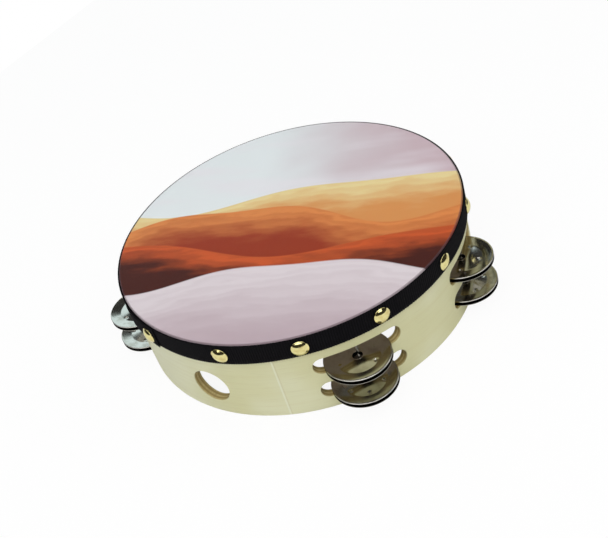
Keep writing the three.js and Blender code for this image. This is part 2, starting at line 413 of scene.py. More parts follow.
radius = from_axis(tree, place)
layer = math_node(tree, "DIVIDE", math_node(tree, "SUBTRACT", radius, INSIDE * mm), PLY * mm)
weave_in = math_node(tree, "MULTIPLY", math_node(tree, "SUBTRACT", clouds, 0.5), 1.1)
phase = math_node(tree, "MULTIPLY", math_node(tree, "ADD", layer, weave_in), math.pi)
which_ply = remap(tree, math_node(tree, "SINE", phase), -0.6, 0.6)
edge_wood = blend(tree, which_ply, paint(167, 145, 90), paint(203, 187, 131))
flecks = remap(tree, pores, 0.45, 0.62, 0.0, 0.4)
edge_wood = blend(tree, flecks, edge_wood, paint(158, 136, 84))
# Painted shade: the bare wood round each pin in the slots is darkened.
edge_wood = blend(tree, point_value(tree, "pin_shade"), edge_wood, paint(52, 42, 28))
out_low, out_high = (HOOP_RADIUS - VENEER_END) * mm, (HOOP_RADIUS - VENEER) * mm
in_low, in_high = (INSIDE + VENEER) * mm, (INSIDE + VENEER_END) * mm
outer_face = remap(tree, radius, out_low, out_high)
inner_face = remap(tree, radius, in_low, in_high, 1.0, 0.0)
timber = blend(tree, math_node(tree, "MAXIMUM", outer_face, inner_face), edge_wood, veneer)

# %% [markdown]
# The strip's ends meet in a glued joint, a thin pale line, a little out of upright, with a
# soft shadow beside it. The place is turned until the joint lies along X, so that the line
# is wherever Y is close to 0 and X is above 0. A clear lacquer then goes over everything.
# It is smoother than wood, but the pores sink in it and the glue stands proud.

# %% Glued joint
JOINT_AZIMUTH, JOINT_LEAN, JOINT_SHIFT = -66.5, -0.008, 0.3
GLUE_SHARE, SHADOW_SHARE, SHADOW_SHIFT = 0.52, 0.25, 1.1
turn_joint = {"Vector": place, "Rotation": (0, 0, math.radians(-JOINT_AZIMUTH))}
joint_place = add(tree, "ShaderNodeMapping", turn_joint).outputs[0]
joint = add(tree, "ShaderNodeSeparateXYZ", {0: joint_place}).outputs
lean = math_node(tree, "MULTIPLY", joint["Z"], JOINT_LEAN)
along = math_node(tree, "ADD", joint["Y"], math_node(tree, "ADD", lean, JOINT_SHIFT * mm))
facing = math_node(tree, "GREATER_THAN", joint["X"], 0.0)
from_line = math_node(tree, "ABSOLUTE", along)
glue = remap(tree, from_line, 0.2 * mm, 0.9 * mm, GLUE_SHARE, 0.0)
glue = math_node(tree, "MULTIPLY", glue, facing)
beside = math_node(tree, "ABSOLUTE", math_node(tree, "SUBTRACT", along, SHADOW_SHIFT * mm))
shadow_line = remap(tree, beside, 0.1 * mm, 0.6 * mm, SHADOW_SHARE, 0.0)
shadow_line = math_node(tree, "MULTIPLY", shadow_line, facing)
timber = blend(tree, shadow_line, timber, paint(172, 158, 112))
timber = blend(tree, glue, timber, paint(226, 229, 210))

# %% Lacquer
raised = math_node(tree, "MULTIPLY", glue, 0.8)
relief = math_node(tree, "ADD", math_node(tree, "MULTIPLY", pores, -0.6), raised)
fine_relief(tree, shader, relief, 0.25, 0.12)
feed(tree, shader, {
    "Base Color": timber,
    "Roughness": remap(tree, streaks, 0.3, 0.7, 0.42, 0.56),
    "Coat Weight": 0.12,
    "Coat Roughness": 0.3,
})
print("wood nodes:", len(tree.nodes))

# %% [markdown]
# The hoop is made as one closed tube: a section of the wall, with eased rims, carried round
# the axis. A knife tool could then cut the slots, but it leaves long thin triangles that
# shade badly on a curved wall. Here the grid is laid out round each opening instead. A
# rectangle of faces is left out on both faces of the wall, and loops of points run from its
# rim in to the opening's outline, over a small rounded edge, through the wall and out again.
# All of it is worked out as azimuth, height and radius, so every point stays on the wall.

# %% Hoop section
COLUMNS, RIM_EASE, EASE_POINTS, FLAT_POINTS = 360, 0.9, 6, 5
PATCH_LOW, PATCH_MIDDLE, PATCH_HIGH, PATCH_ROWS = 5.5, 27.15, 48.8, 10
levels = np.concatenate([
    [RIM_EASE, 1.8, 3.4],
    np.linspace(PATCH_LOW, PATCH_MIDDLE, PATCH_ROWS + 1)[:-1],
    np.linspace(PATCH_MIDDLE, PATCH_HIGH, PATCH_ROWS + 1)[:-1],
    np.linspace(PATCH_HIGH, HOOP_HEIGHT - RIM_EASE, 8),
])
outer_centre, inner_centre = HOOP_RADIUS - RIM_EASE, INSIDE + RIM_EASE
top_centre = HOOP_HEIGHT - RIM_EASE
rim_flat = np.linspace(inner_centre, outer_centre, FLAT_POINTS)
section = np.concatenate([
    np.stack([np.full_like(levels, HOOP_RADIUS), levels], -1),
    arc((outer_centre, top_centre), RIM_EASE, 0, 90, EASE_POINTS)[1:],
    np.stack([rim_flat[::-1], np.full(FLAT_POINTS, HOOP_HEIGHT)], -1)[1:],
    arc((inner_centre, top_centre), RIM_EASE, 90, 180, EASE_POINTS)[1:-1],
    np.stack([np.full_like(levels, INSIDE), levels[::-1]], -1),
    arc((inner_centre, RIM_EASE), RIM_EASE, 180, 270, EASE_POINTS)[1:],
    np.stack([rim_flat, np.zeros(FLAT_POINTS)], -1)[1:],
    arc((outer_centre, RIM_EASE), RIM_EASE, 270, 360, EASE_POINTS)[1:-1],
])
inner_start = len(levels) + (EASE_POINTS - 1) + (FLAT_POINTS - 1) + (EASE_POINTS - 2)
rim_start = inner_start + len(levels) + EASE_POINTS - 2
print("section points:", len(section), "rim flat at", section[rim_start].round(2))

# %% The hoop's grid
azimuth_grid, radius_grid = np.meshgrid(np.arange(COLUMNS) * 360 / COLUMNS, section[:, 0])
height_grid = section[:, 1:] + 0 * azimuth_grid
hoop_parts = [np.stack([azimuth_grid, height_grid, radius_grid], -1).reshape(-1, 3)]
hoop_faces = []
kept = np.ones((len(section), COLUMNS), bool)
print("grid points:", len(hoop_parts[0]))

# %% [markdown]
# An opening needs four things: the rim of the rectangle that is left out, the outline it has
# to reach, loops that pass from one to the other, and the faces between the loops.

# %% Helpers for openings
def rim_of(column_0, column_1, row_0, row_1):
    """The (row, column) pairs round a rectangle of the grid, anticlockwise from outside."""
    along, across = np.arange(column_0, column_1), np.arange(row_0, row_1)
    low, high = np.full_like(along, row_0), np.full_like(along, row_1)
    left, right = np.full_like(across, column_0), np.full_like(across, column_1)
    rows = [low, across, high, row_1 - across + row_0]
    columns = [along, right, column_1 - along + column_0, left]
    return np.concatenate(rows), np.concatenate(columns)


def onto_outline(x, y, straight, radius):
    """The nearest point on a round-ended outline: hold x to the straight part, then step out
    by the radius towards the given point. With no straight part it is a circle."""
    middle = np.clip(x, -straight, straight)
    reach = np.hypot(x - middle, y)
    return middle + radius * (x - middle) / reach, radius * y / reach


def between(rim, outline, shares):
    """Loops that pass from a rim to an outline by the given shares of the way."""
    return [rim * (1 - s) + outline * s for s in shares]


def join_loops(loops, first_rim, last_rim):
    """Adds loops of new points, and the faces from a rim of the grid through each loop to
    the last rim, or to a flat bottom where there is no last rim."""
    start = sum(len(p) for p in hoop_parts)
    count = len(loops[0])
    hoop_parts.append(np.concatenate(loops))
    index = start + np.arange(len(loops) * count).reshape(len(loops), count)
    chain = np.stack([first_rim, *index] + ([last_rim] if last_rim is not None else []))
    beside = np.roll(chain, -1, 1)
    quads = np.stack([chain[:-1], beside[:-1], beside[1:], chain[1:]], -1)
    hoop_faces.append(quads.reshape(-1, 4))
    if last_rim is None:
        hoop_faces.append(chain[-1:])


# %% [markdown]
# Six stations have two slots each, one over the other, and a round hand hole is cut between
# the first station and the last. The slots' ends point at the hoop's axis, as a cutter leaves
# them when the hoop is turned under it, so a slot is a little shorter inside the hoop.

# %% Slots and hand hole
EDGE_ROUND, WALL_MARGIN, WALL_LOOPS = 0.35, 0.8, 5
RING_SHARES = [0.28, 0.52, 0.72, 0.87, 0.96]
ROUND_ANGLES = np.radians([0, 22.5, 45, 67.5, 90])
rounding = [(EDGE_ROUND * (1 - math.sin(a)), EDGE_ROUND * (1 - math.cos(a))) for a in ROUND_ANGLES]


def cut_through(azimuth, height, straight, radius, half_columns, row_0, row_1):
    """An opening through the wall. The cutter points at the hoop's axis wherever it stands,
    so the straight part is an angle, and only the cutter's own radius is a width."""
    column_0, column_1 = round(azimuth - half_columns), round(azimuth + half_columns)
    rows, columns = rim_of(column_0, column_1, row_0, row_1)
    inner_rows = inner_start + len(levels) - 1 - rows
    x = np.radians(columns - azimuth) * HOOP_RADIUS
    y = section[rows, 1] - height

    def outline(grow, depth):
        px, py = onto_outline(x, y, straight, radius + grow)
        middle = np.clip(px, -straight, straight)
        at = HOOP_RADIUS - depth
        turn = np.arcsin(middle / HOOP_RADIUS) + np.arcsin((px - middle) / at)
        return np.stack([azimuth + np.degrees(turn), height + py, np.full_like(px, at)], -1)

    outer_rim = np.stack([columns, section[rows, 1], np.full(len(x), HOOP_RADIUS)], -1)
    inner_rim = outer_rim - [0, 0, HOOP_WALL]
    depths = np.linspace(WALL_MARGIN, HOOP_WALL - WALL_MARGIN, WALL_LOOPS)
    loops = between(outer_rim, outline(EDGE_ROUND, 0), RING_SHARES)
    loops += [outline(g, d) for g, d in rounding]
    loops += [outline(0, d) for d in depths]
    loops += [outline(g, HOOP_WALL - d) for g, d in reversed(rounding)]
    loops += between(inner_rim, outline(EDGE_ROUND, HOOP_WALL), RING_SHARES)[::-1]
    column = columns % COLUMNS
    join_loops(loops, rows * COLUMNS + column, inner_rows * COLUMNS + column)
    gone = np.arange(column_0, column_1) % COLUMNS
    kept[row_0:row_1, gone] = False
    kept[inner_rows.min():inner_rows.max(), gone] = False


HOLE_AZIMUTH, HOLE_HEIGHT, HOLE_RADIUS, HOLE_HALF_COLUMNS = -90.0, 24.9, 13.8, 10
STATIONS = [HOLE_AZIMUTH + a for a in (48.5, 100.2, 152.8, 207.2, 259.8, 309.3)]
ROWS = {"lower": 16.4, "upper": 37.9}
SLOT_LENGTH, SLOT_HEIGHT, SLOT_HALF_COLUMNS = 62.0, 13.0, 17.5
slot = (SLOT_LENGTH - SLOT_HEIGHT) / 2, SLOT_HEIGHT / 2, SLOT_HALF_COLUMNS
lowest = int(np.searchsorted(levels, PATCH_LOW - 0.01))
for station in STATIONS:
    for i, height in enumerate(ROWS.values()):
        row = lowest + PATCH_ROWS * i
        cut_through(station, height, *slot, row, row + PATCH_ROWS)
hole = 0, HOLE_RADIUS, HOLE_HALF_COLUMNS
cut_through(HOLE_AZIMUTH, HOLE_HEIGHT, *hole, lowest, lowest + 2 * PATCH_ROWS)
print("faces left out for slots and hand hole:", int((~kept).sum()))

# %% [markdown]
# The six pins are driven up from the lower rim, and their heads sit in small round recesses
# there. A recess is the same kind of opening, only on the flat of the rim and closed at its
# end, where the pin's own hole goes on.

# %% Pin recesses
PIN_CIRCLE = HOOP_RADIUS - HOOP_WALL / 2
RECESS_RADIUS, RECESS_DEPTH, BORE_RADIUS, BORE_DEPTH = 1.8, 1.6, 1.2, 6.0
RECESS_HALF_COLUMNS, RECESS_ROWS, RECESS_SHARES = 2, FLAT_POINTS - 1, [0.5]
RECESS_STEPS = [
    (RECESS_RADIUS, 0),
    (RECESS_RADIUS, RECESS_DEPTH),
    (BORE_RADIUS, RECESS_DEPTH),
    (BORE_RADIUS, BORE_DEPTH),
]


def cut_recess(azimuth):
    """A stepped round hole up into the rim: the head's recess, then the wire's bore."""
    column_0 = round(azimuth - RECESS_HALF_COLUMNS)
    column_1 = round(azimuth + RECESS_HALF_COLUMNS)
    rows, columns = rim_of(column_0, column_1, rim_start, rim_start + RECESS_ROWS)
    x = np.radians(columns - azimuth) * PIN_CIRCLE
    y = section[rows, 0] - PIN_CIRCLE

    def outline(radius, depth):
        px, py = onto_outline(x, y, 0, radius)
        turn = np.degrees(px / PIN_CIRCLE)
        return np.stack([azimuth + turn, np.full_like(px, depth), PIN_CIRCLE + py], -1)

    rim = np.stack([columns, np.zeros(len(x)), section[rows, 0]], -1)
    loops = between(rim, outline(RECESS_RADIUS, 0), RECESS_SHARES)
    loops += [outline(r, d) for r, d in RECESS_STEPS]
    join_loops(loops, rows * COLUMNS + columns % COLUMNS, None)
    gone = np.arange(column_0, column_1) % COLUMNS
    kept[rim_start:rim_start + RECESS_ROWS, gone] = False


for station in STATIONS:
    cut_recess(station)

# %% [markdown]
# In the slots the bare wood round each pin is painted dark, as painted shade from the jingle
# pairs over it, which shows through their holes. That is a value per point, from its
# distance to the nearest pin.

# %% Hoop
PIN_SHADE_END, PIN_SHADE_FADE = 6.5, 2.0
around = np.concatenate(hoop_parts)
azimuths, heights, radii = around.T
angle = np.radians(azimuths)
hoop_points = np.stack([radii * np.cos(angle), radii * np.sin(angle), heights], -1)
plain = grid_faces(len(section), COLUMNS, True, True).reshape(len(section), COLUMNS, 4)[kept]
hoop = make_piece("hoop_wood", hoop_points, [plain, *hoop_faces], wood, sharp=60)
dress(hoop, "hoop", "wood", "shell")
from_pin = np.radians((azimuths[:, None] - STATIONS + 180) % 360 - 180) * PIN_CIRCLE
from_pin = np.hypot(np.abs(from_pin).min(1), radii - PIN_CIRCLE)
in_slots = (heights > PATCH_LOW) & (heights < PATCH_HIGH)
# Painted shade round each pin, in the slots only.
mark_points(hoop, "pin_shade", in_slots * eased((PIN_SHADE_END - from_pin) / PIN_SHADE_FADE))
print("hoop points:", len(hoop_points), "faces:", len(hoop.data.polygons))

# %% [markdown]
# The head is a film with a simple landscape printed on it: three warm dunes under a pale
# sky, with a bank of mist in front. A print could be a picture file, but here it is worked
# out from place alone: each dune is a wavy crest line, bright at the crest and darker below
# it, laid over the one behind, and the mist is one more of them in pale colours. All four
# are one node group, placed four times with its own values.

# %% Dune group
dune, sides, result = new_group(
    "dune",
    {
        "Place": ("Vector", None),
        "Crest": ("Float", 0.0),
        "Swing": ("Float", 0.1),
        "Waves": ("Float", 2.0),
        "Shift": ("Float", 0.0),
        "Fall": ("Float", 0.4),
        "Lit": ("Color", (1, 1, 1, 1)),
        "Shade": ("Color", (0, 0, 0, 1)),
        "Behind": ("Color", (1, 1, 1, 1)),
    },
    {"Colour": "Color"},
)
spot = add(dune, "ShaderNodeSeparateXYZ", {0: sides["Place"]}).outputs
bend = math_node(dune, "MULTIPLY_ADD", spot["X"], sides["Waves"], sides["Shift"])
swell = math_node(dune, "MULTIPLY", math_node(dune, "SINE", bend), sides["Swing"])
second = math_node(dune, "SINE", math_node(dune, "MULTIPLY_ADD", bend, 2.3, 1.1))
second = math_node(dune, "MULTIPLY", math_node(dune, "MULTIPLY", second, sides["Swing"]), 0.3)
crest = math_node(dune, "ADD", math_node(dune, "ADD", swell, second), sides["Crest"])
depth = math_node(dune, "SUBTRACT", crest, spot["Y"])
drift = noise(dune, stretched(dune, sides["Place"], (1.6, 5, 1)), 2.2, 4.0)
fallen = math_node(dune, "MULTIPLY_ADD", math_node(dune, "SUBTRACT", drift, 0.5), 0.34, depth)
shade = remap(dune, math_node(dune, "DIVIDE", fallen, sides["Fall"]), 0.0, 1.0)
body = blend(dune, shade, sides["Lit"], sides["Shade"])
ripple = math_node(dune, "MULTIPLY_ADD", drift, 16.0, math_node(dune, "MULTIPLY", depth, 95.0))
ripple = remap(dune, math_node(dune, "SINE", ripple), -1.0, 1.0, 0.0, 0.16)
body = blend(dune, ripple, body, sides["Shade"])
cover = remap(dune, depth, 0.0, 0.012)
feed(dune, result, {"Colour": blend(dune, cover, sides["Behind"], body)})
print("dune nodes:", len(dune.nodes))

# %% [markdown]
# The sky goes from pale blue to lavender across the head, with thin clouds. The dunes are
# then laid on from the farthest to the nearest, and the mist comes last.

# %% Print
HEAD_TOP, FILM, SKIRT_OUT, HEAD_CORNER, SKIRT_LENGTH = 68.3, 0.4, 127.7, 1.2, 13.5
PRINT_TURN = math.radians(-18)
DUNES = [
    (0.24, 0.09, 2.4, 0.4, 0.30, (226, 206, 150), (208, 142, 82)),
    (0.04, 0.12, 2.9, 2.6, 0.32, (214, 134, 74), (146, 54, 28)),
    (-0.20, 0.10, 2.2, 4.4, 0.24, (196, 88, 42), (70, 26, 18)),
    (-0.46, 0.08, 3.1, 1.2, 0.60, (216, 206, 210), (184, 166, 173)),
]
film, tree, shader = new_material("head_film")
place = object_place(tree)
level_print = {"Vector": place, "Rotation": (0, 0, PRINT_TURN)}
level_print["Scale"] = (1 / (SKIRT_OUT * mm),) * 3
design = add(tree, "ShaderNodeMapping", level_print).outputs[0]
haze = math_node(tree, "MULTIPLY", noise(tree, design, 1.3, 3.0), 0.9)
across = add(tree, "ShaderNodeSeparateXYZ", {0: design}).outputs["X"]
sky_share = remap(tree, math_node(tree, "ADD", across, haze), 0.1, 1.3)
ground = blend(tree, sky_share, paint(222, 229, 231), paint(192, 168, 175))
clouds = noise(tree, stretched(tree, design, (0.8, 3, 1)), 1.5, 2.0)
ground = blend(tree, remap(tree, clouds, 0.45, 0.75, 0.0, 0.6), ground, paint(226, 222, 228))
for *numbers, lit, shade in DUNES:
    values = dict(zip(("Crest", "Swing", "Waves", "Shift", "Fall"), numbers))
    values.update({"Place": design, "Behind": ground, "Lit": paint(*lit), "Shade": paint(*shade)})
    ground = use_group(tree, dune, values)["Colour"]
print("dunes and mist:", len(DUNES))

# %% [markdown]
# The film lets some light through, as subsurface scattering, and that light is what keeps
# the inside of the hoop from going dark. The print is on the outer face only, and where the
# film bends over the rim it is painted darker, as painted shade on the corner.

# %% Film
radius = from_axis(tree, place)
height = add(tree, "ShaderNodeSeparateXYZ", {0: place}).outputs["Z"]
# Painted shade where the film bends over the rim.
corner_shade = remap(tree, radius, (SKIRT_OUT - 1.4) * mm, (SKIRT_OUT - 0.6) * mm, 0.0, 0.55)
ground = blend(tree, corner_shade, ground, paint(88, 74, 80))
on_top = remap(tree, height, (HEAD_TOP - FILM) * mm, (HEAD_TOP - FILM / 2) * mm)
on_corner = remap(tree, radius, (SKIRT_OUT - 1) * mm, (SKIRT_OUT - 0.8) * mm)
printed = math_node(tree, "MAXIMUM", on_top, on_corner)
skin = noise(tree, place, 900.0, 2.0)
fine_relief(tree, shader, skin, 0.12, 0.05)
feed(tree, shader, {
    "Base Color": blend(tree, printed, paint(216, 206, 195), ground),
    "Roughness": remap(tree, skin, 0.3, 0.7, 0.42, 0.5),
    "Specular IOR Level": 0.12,
    "Subsurface Weight": 0.7,
    "Subsurface Radius": (1, 1, 1),
    "Subsurface Scale": 0.9 * mm,
})
print("film nodes:", len(tree.nodes))

# %% [markdown]
# The film is drawn over the hoop's top edge and down its side, so its shape is one shallow
# cap with a softly rounded corner: a profile turned round the axis, from the middle of its
# under face out and down to the skirt's end, and back over the outer face to the middle.

# %% Head
HEAD_STEPS = 256
HEAD_RINGS = np.linspace(4, 126, 24)
SKIRT_RINGS = [[SKIRT_OUT, HEAD_TOP - 5], [SKIRT_OUT, HEAD_TOP - 1.6]]
corner = (SKIRT_OUT - HEAD_CORNER, HEAD_TOP - HEAD_CORNER)
skirt_end = HEAD_TOP - SKIRT_LENGTH
head_profile = np.concatenate([
    np.stack([HEAD_RINGS, np.full_like(HEAD_RINGS, HEAD_TOP - FILM)], -1),
    arc(corner, HEAD_CORNER - FILM, 90, 0, 7),
    [[SKIRT_OUT - FILM, skirt_end], [SKIRT_OUT, skirt_end]],
    SKIRT_RINGS,
    arc(corner, HEAD_CORNER, 0, 90, 9),
    np.stack([HEAD_RINGS, np.full_like(HEAD_RINGS, HEAD_TOP)], -1)[::-1],
])
points, faces = turned_solid(head_profile, HEAD_STEPS, HEAD_TOP - FILM, HEAD_TOP)
head = make_piece("head_film", points, faces, film)
dress(head, "hoop", "film", "head")
print("head reaches", round(float(np.abs(points[:, 0]).max()), 2), "mm from the axis")

# %% [markdown]
# A black grosgrain ribbon runs round the top of the hoop. Its cross ribs are what light
# catches on it, so they are real, and only the finer weave between them, far too small to
# model, is a bump. The furrows between the ribs are painted darker than their crests, as
# painted shade.

# %% Ribbon material
grosgrain, tree, shader = new_material("ribbon_grosgrain")
thread_place = add(tree, "ShaderNodeUVMap", uv_map="layout").outputs[0]
weave = noise(tree, stretched(tree, thread_place, (900, 2600, 1)), 1.0, 1.0)
wear = noise(tree, object_place(tree), 40.0, 3.0)
cloth = blend(tree, remap(tree, weave, 0.35, 0.7), paint(8, 7, 9), paint(17, 15, 20))
cloth = blend(tree, remap(tree, wear, 0.5, 0.75, 0.0, 0.3), cloth, paint(23, 21, 26))
# Painted shade in the furrows between the ribs.
furrow_shade = remap(tree, point_value(tree, "rib"), 0.1, 0.8, 0.75, 0.0)
fine_relief(tree, shader, weave, 0.5, 0.08)
feed(tree, shader, {
    "Base Color": blend(tree, furrow_shade, cloth, paint(2, 2, 3)),
    "Roughness": 0.85,
    "Specular IOR Level": 0.08,
    "Sheen Weight": 0.02,
    "Sheen Roughness": 0.4,
})
print("ribbon nodes:", len(tree.nodes))

# %% [markdown]
# The strip is a profile carried along a path, its face rising and falling once for each rib.
# The corners of the profile are eased, by one amount outward and one inward at its back and
# its face. The path climbs over its own start where the cut end laps. Its first stretch was
# put on a little slack, so there its lower edge hangs a millimetre lower, and the lower
# corner of the cut end sags by nearly two.

# %% Ribbon path
RIBBON_IN, RIBBON_THICK, RIBBON_TOP, RIBBON_WIDTH = 128.0, 0.8, 67.9, 15.4
LAP_END, LAP_LENGTH, LAP_CLIMB, LAP_STEP = 254.7, 15.0, 5.0, 1.1
START_DROP, DROP_LENGTH, START_FADE = 1.3, 28.0, 40.0
END_SAG, SAG_LENGTH = 1.9, 9.0
RIB_PITCH, RIB_RISE, RIB_POINTS, EDGE_SCALLOP = 1.7, 0.26, 6, 0.6
BACK_OUT, BACK_IN, FACE_OUT, FACE_IN = 0.2, 0.25, 0.15, 0.3


def ribbon_climb(azimuth):
    """How far out the strip has moved to pass over its own start: a smooth step."""
    return LAP_STEP * eased((azimuth - (LAP_END - LAP_LENGTH) + LAP_CLIMB) / LAP_CLIMB)


ribbon_start = LAP_END - 360 - LAP_LENGTH
ribs = round((LAP_END - ribbon_start) / 360 * TURN * RIBBON_IN / RIB_PITCH)
along = np.linspace(ribbon_start, LAP_END, ribs * RIB_POINTS + 1)
rib = 0.5 - 0.5 * np.cos(TURN * np.arange(len(along)) / RIB_POINTS)
drop = START_DROP * (1 - eased((along - ribbon_start - DROP_LENGTH) / START_FADE))
sag = END_SAG * eased((along - LAP_END + SAG_LENGTH) / SAG_LENGTH)
print("ribbon ribs:", ribs)

# %% Ribbon
outside = RIBBON_THICK - RIB_RISE
half = RIBBON_WIDTH / 2
strip = np.array([
    [0, BACK_IN - half], [0, 0], [0, half - BACK_IN], [BACK_OUT, half],
    [outside - FACE_OUT, half], [outside, half - FACE_IN], [outside, half * 0.6],
    [outside, half * 0.2], [outside, -half * 0.2], [outside, -half * 0.6],
    [outside, FACE_IN - half], [outside - FACE_OUT, -half], [BACK_OUT, -half],
])
on_face = np.array([0, 0, 0, 0, 0.7, 1, 1, 1, 1, 1, 1, 0.7, 0])[:, None]
on_edge = np.array([0, 0, 0, 1, 1, 0, 0, 0, 0, 0, 0, -1, -1])[:, None]
out = RIBBON_IN + ribbon_climb(along) + strip[:, :1] + RIB_RISE * on_face * rib
height = RIBBON_TOP - half + strip[:, 1:] - EDGE_SCALLOP * on_edge * (1 - rib)
height = height - sag * (on_edge < 0) - drop * (0.5 - strip[:, 1:] / RIBBON_WIDTH)
angle = np.radians(along)
points = np.stack([out * np.cos(angle), out * np.sin(angle), height + 0 * angle], -1)
first_points = np.arange(len(strip))[None, :] * len(along)
end_caps = [first_points, first_points[:, ::-1] + len(along) - 1]
faces = grid_faces(len(strip), len(along), True, False)[:, ::-1]
ribbon = make_piece("ribbon", points, [faces, *end_caps], grosgrain)
run = angle * RIBBON_IN * mm + 0 * height
lay_out(ribbon, np.stack([run, height * mm], -1))
mark_points(ribbon, "rib", rib + 0 * height)
dress(ribbon, "hoop", "ribbon", "ribbon")
print("ribbon points:", len(ribbon.data.vertices))

# %% [markdown]
# Three metals follow, and all of them are handled, wiped and rubbed, so they share one
# group. It breaks up the polish with faint smudges and fine scratches, and darkens the
# colour a little where the metal is dull. Each metal places it with its own strength.

# %% Handling marks
marks, sides, result = new_group(
    "handling_marks",
    {
        "Place": ("Vector", None),
        "Colour": ("Color", (1, 1, 1, 1)),
        "Tarnish": ("Color", (0.3, 0.3, 0.3, 1)),
        "Polish": ("Float", 0.1),
        "Smudge": ("Float", 0.1),
        "Size": ("Float", 90.0),
    },
    {"Colour": "Color", "Roughness": "Float", "Height": "Float"},
)
dull = remap(marks, noise(marks, sides["Place"], sides["Size"], 4.0), 0.42, 0.74)
half_dull = math_node(marks, "MULTIPLY", dull, 0.5)
fine_size = math_node(marks, "MULTIPLY", sides["Size"], 14.0)
feed(marks, result, {
    "Colour": blend(marks, half_dull, sides["Colour"], sides["Tarnish"]),
    "Roughness": math_node(marks, "MULTIPLY_ADD", dull, sides["Smudge"], sides["Polish"]),
    "Height": noise(marks, sides["Place"], fine_size, 2.0),
})


def polished_metal(name, colour, tarnish, polish, smudge, size):
    """A metal that mirrors its room, broken up by the shared handling marks."""
    material, tree, shader = new_material(name)
    values = {"Place": object_place(tree), "Colour": colour, "Tarnish": tarnish}
    values.update({"Polish": polish, "Smudge": smudge, "Size": size})
    worn = use_group(tree, marks, values)
    links = {"Base Color": worn["Colour"], "Roughness": worn["Roughness"], "Metallic": 1.0}
    feed(tree, shader, links)
    return material, tree, shader, worn


bright, dark = paint(229, 219, 156), paint(190, 162, 84)
brass, tree, shader, worn = polished_metal("tack_brass", bright, dark, 0.08, 0.1, 260.0)
fine_relief(tree, shader, worn["Height"], 0.06, 0.03)
print("marks nodes:", len(marks.nodes))

# %% [markdown]
# Fourteen upholstery tacks hold the head and ribbon down. A tack is a thin brass dome with a
# turned-in edge on a short pointed shank: a profile turned round its own axis, then laid
# along the line out from the hoop's axis. They were driven by eye, so their pitch wanders.

# %% Tacks
TACK_AZIMUTHS = [
    -108.5, -80.7, -56.8, -32.2, -5.7, 21, 47.5,
    71.3, 94.2, 118.6, 141.5, 165.4, 188.1, 211.8,
]
TACK_HEIGHT, TACK_RADIUS, TACK_DOME, TACK_EDGE = HEAD_TOP - 8.5, 5.8, 2.69, 0.3
TACK_GAP, TACK_LIFT, TACK_STEPS = 0.3, 0.02, 48
SHANK_RADIUS, SHANK_LENGTH, SHANK_POINT = 0.75, 6.4, 1.5
RIM_TILT, CROWN_TILT = 43.7, 2.5


def on_hoop(azimuth, radius, height, local):
    """Points given as along, up and outward from a place on the hoop."""
    a = math.radians(azimuth)
    outward = np.array([math.cos(a), math.sin(a), 0])
    along = np.array([-math.sin(a), math.cos(a), 0])
    axes = np.stack([along, [0, 0, 1], outward])
    return local @ axes + outward * radius + [0, 0, height]


def tack_profile():
    """The dome is part of a sphere: at the tilt t its radius is R sin t, and it has fallen
    R (1 - cos t) from the crown. Its rim rolls on with the same tilt into a small round."""
    lean = math.sin(math.radians(RIM_TILT))
    sphere = (TACK_RADIUS - TACK_EDGE + TACK_EDGE * lean) / lean
    tilt = np.radians(np.linspace(RIM_TILT, CROWN_TILT, 15))[1:]
    rim_centre = (TACK_RADIUS - TACK_EDGE, TACK_EDGE + TACK_LIFT)
    return np.concatenate([
        [[SHANK_RADIUS, SHANK_POINT - SHANK_LENGTH], [SHANK_RADIUS, TACK_LIFT]],
        arc(rim_centre, TACK_EDGE, -90, 90 - RIM_TILT, 8),
        np.stack([sphere * np.sin(tilt), TACK_DOME - sphere * (1 - np.cos(tilt))], -1),
    ])


local, faces = turned_solid(tack_profile(), TACK_STEPS, -SHANK_LENGTH, TACK_DOME)
for i, azimuth in enumerate(TACK_AZIMUTHS):
    lapped = azimuth + 360 if azimuth + 360 < LAP_END else azimuth
    seat = RIBBON_IN + float(ribbon_climb(lapped)) + RIBBON_THICK + TACK_GAP
    points = on_hoop(azimuth, seat, TACK_HEIGHT, local)
    tack = make_piece(f"tack_brass_{i + 1}", points, faces, brass, sharp=60)
    dress(tack, "hoop", "brass", f"tack_{i + 1}")
low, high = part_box("tack_1")
print("tack 1 solid is centred at height", round((low.z + high.z) / 2 / mm, 2), "mm")

# %% [markdown]
# Each station has one wire pin through both rows, which looks like a plain nail with its
# head in the lower rim. It is turned from a profile too, given as the nail's head, counted
# up from its low end, and its point, counted down from its high end.

# %% Pins
bright, dark = paint(150, 146, 138), paint(96, 88, 78)
wire, tree, shader, worn = polished_metal("pin_wire", bright, dark, 0.16, 0.15, 200.0)
fine_relief(tree, shader, worn["Height"], 0.1, 0.03)
NAIL_HEAD = np.array([[1.4, 0], [1.6, 0.2], [1.6, 0.65], [1.45, 0.8], [1, 0.8], [1, 1.2]])
NAIL_POINT = np.array([[1, -2.2], [0.9, -1.8], [0.15, -0.1]])
PIN_STEPS = 20
pin_low, pin_high = (v.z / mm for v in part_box("pin_1"))
pin_profile = np.concatenate([NAIL_HEAD + [0, pin_low], NAIL_POINT + [0, pin_high]])
local, faces = turned_solid(pin_profile, PIN_STEPS, pin_low, pin_high)
for i, station in enumerate(STATIONS):
    a = math.radians(station)
    points = local + [PIN_CIRCLE * math.cos(a), PIN_CIRCLE * math.sin(a), 0]
    pin = make_piece(f"pin_wire_{i + 1}", points, faces, wire)
    dress(pin, "hoop", "wire", f"pin_{i + 1}")
print("pins run from", round(pin_low, 2), "to", round(pin_high, 2), "mm")
